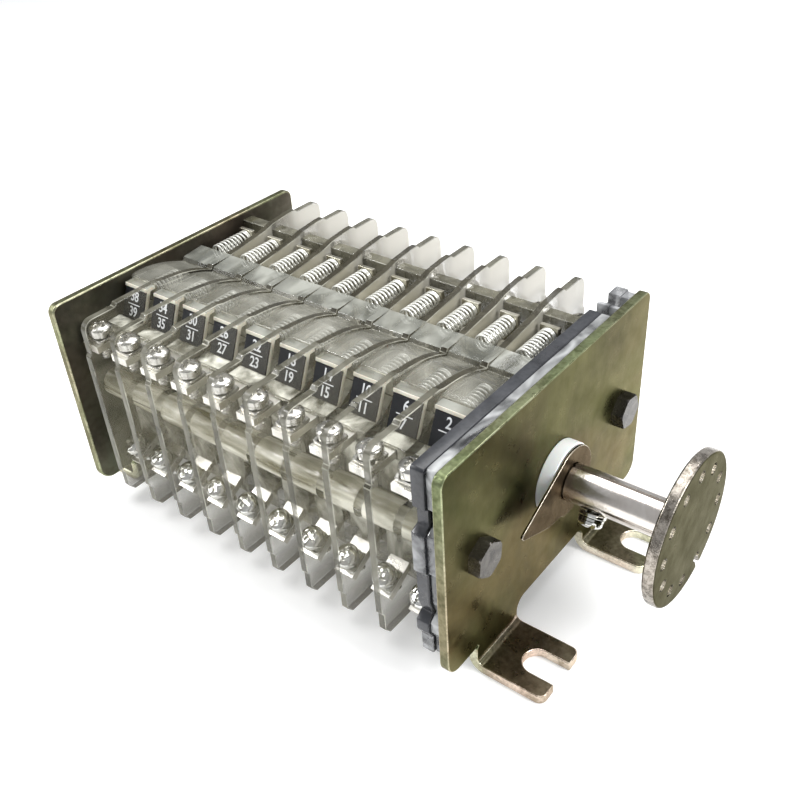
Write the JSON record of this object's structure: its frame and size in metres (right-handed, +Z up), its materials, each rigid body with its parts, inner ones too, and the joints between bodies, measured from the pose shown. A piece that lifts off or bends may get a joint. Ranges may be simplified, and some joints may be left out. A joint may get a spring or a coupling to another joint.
{
  "type": "auxiliary switch",
  "caption": "Rotary auxiliary switch with clear contact sections stacked on a square shaft between two footed end plates, turned by a drilled crank disc.",
  "frame": {"origin": "on the plane of the feet's undersides, straight below the shaft axis and midway between the two end plates, which is the centre of the four foot slots", "axes": "+X along the shaft towards the crank disc, +Z up from the feet to the shaft, -Y the near terminal side with the labels"},
  "size_m": [0.2147, 0.1086, 0.08],
  "materials": {
    "zinc_plate": "iridescent olive-yellow zinc passivation on sheet steel",
    "smoked_plastic": "dark smoked moulded plastic",
    "clear_cover": "clear moulded plastic, glossy",
    "clear_plastic": "clear, slightly yellow polycarbonate",
    "cream_nylon": "natural cream nylon, matt",
    "white_nylon": "white nylon, satin",
    "contact_brass": "silver-plated brass, worn bright",
    "plated_steel": "bright plated steel",
    "zinc_pointer": "yellow zinc passivation on thin sheet steel",
    "bright_nickel": "bright nickel plating",
    "grey_zinc_disc": "grey-olive zinc face with a bright rim",
    "black_steel": "blackened steel",
    "label_black": "black printed face",
    "nickel_terminal": "nickel-plated brass strip",
    "nickel_screw": "nickel-plated steel",
    "spring_steel": "bright spring wire"
  },
  "bodies": {
    "frame": {"front_end_plate": "zinc_plate", "rear_end_plate": "zinc_plate", "front_end_housing": "smoked_plastic", "front_cover": "clear_cover", "section_housing_01": "clear_plastic", "section_housing_02": "clear_plastic", "section_housing_03": "clear_plastic", "section_housing_04": "clear_plastic", "section_housing_05": "clear_plastic", "section_housing_06": "clear_plastic", "section_housing_07": "clear_plastic", "section_housing_08": "clear_plastic", "section_housing_09": "clear_plastic", "section_housing_10": "clear_plastic", "front_bushing": "white_nylon", "rear_bushing": "white_nylon", "tie_bolts": "black_steel", "tie_washers": "black_steel", "tie_nuts": "black_steel", "label_holders": "cream_nylon", "label_faces": "label_black", "near_upper_terminals": "nickel_terminal", "near_lower_terminals": "nickel_terminal", "far_upper_terminals": "nickel_terminal", "far_lower_terminals": "nickel_terminal", "near_upper_screws": "nickel_screw", "near_lower_screws": "nickel_screw", "far_upper_screws": "nickel_screw", "far_lower_screws": "nickel_screw", "near_upper_washers": "nickel_screw", "near_lower_washers": "nickel_screw", "far_upper_washers": "nickel_screw", "far_lower_washers": "nickel_screw", "near_upper_levers": "contact_brass", "near_lower_levers": "contact_brass", "far_upper_levers": "contact_brass", "far_lower_levers": "contact_brass", "near_upper_springs": "spring_steel", "near_lower_springs": "spring_steel", "far_upper_springs": "spring_steel", "far_lower_springs": "spring_steel"},
    "shaft": {"contact_rotor_01": "cream_nylon", "contact_rotor_02": "cream_nylon", "contact_rotor_03": "cream_nylon", "contact_rotor_04": "cream_nylon", "contact_rotor_05": "cream_nylon", "contact_rotor_06": "cream_nylon", "contact_rotor_07": "cream_nylon", "contact_rotor_08": "cream_nylon", "contact_rotor_09": "cream_nylon", "contact_rotor_10": "cream_nylon", "bridge_contacts": "contact_brass", "square_shaft": "plated_steel", "position_pointer": "zinc_pointer", "crank_tube": "bright_nickel", "crank_disc": "grey_zinc_disc", "crank_screw": "plated_steel", "crank_screw_washers": "plated_steel"}
  },
  "joints": [
    {"name": "shaft_turn", "type": "hinge", "parent": "frame", "child": "shaft", "pos_m": [0, 0, 0.045], "axis": [1, 0, 0], "range_deg": [0, 90]}
  ]
}
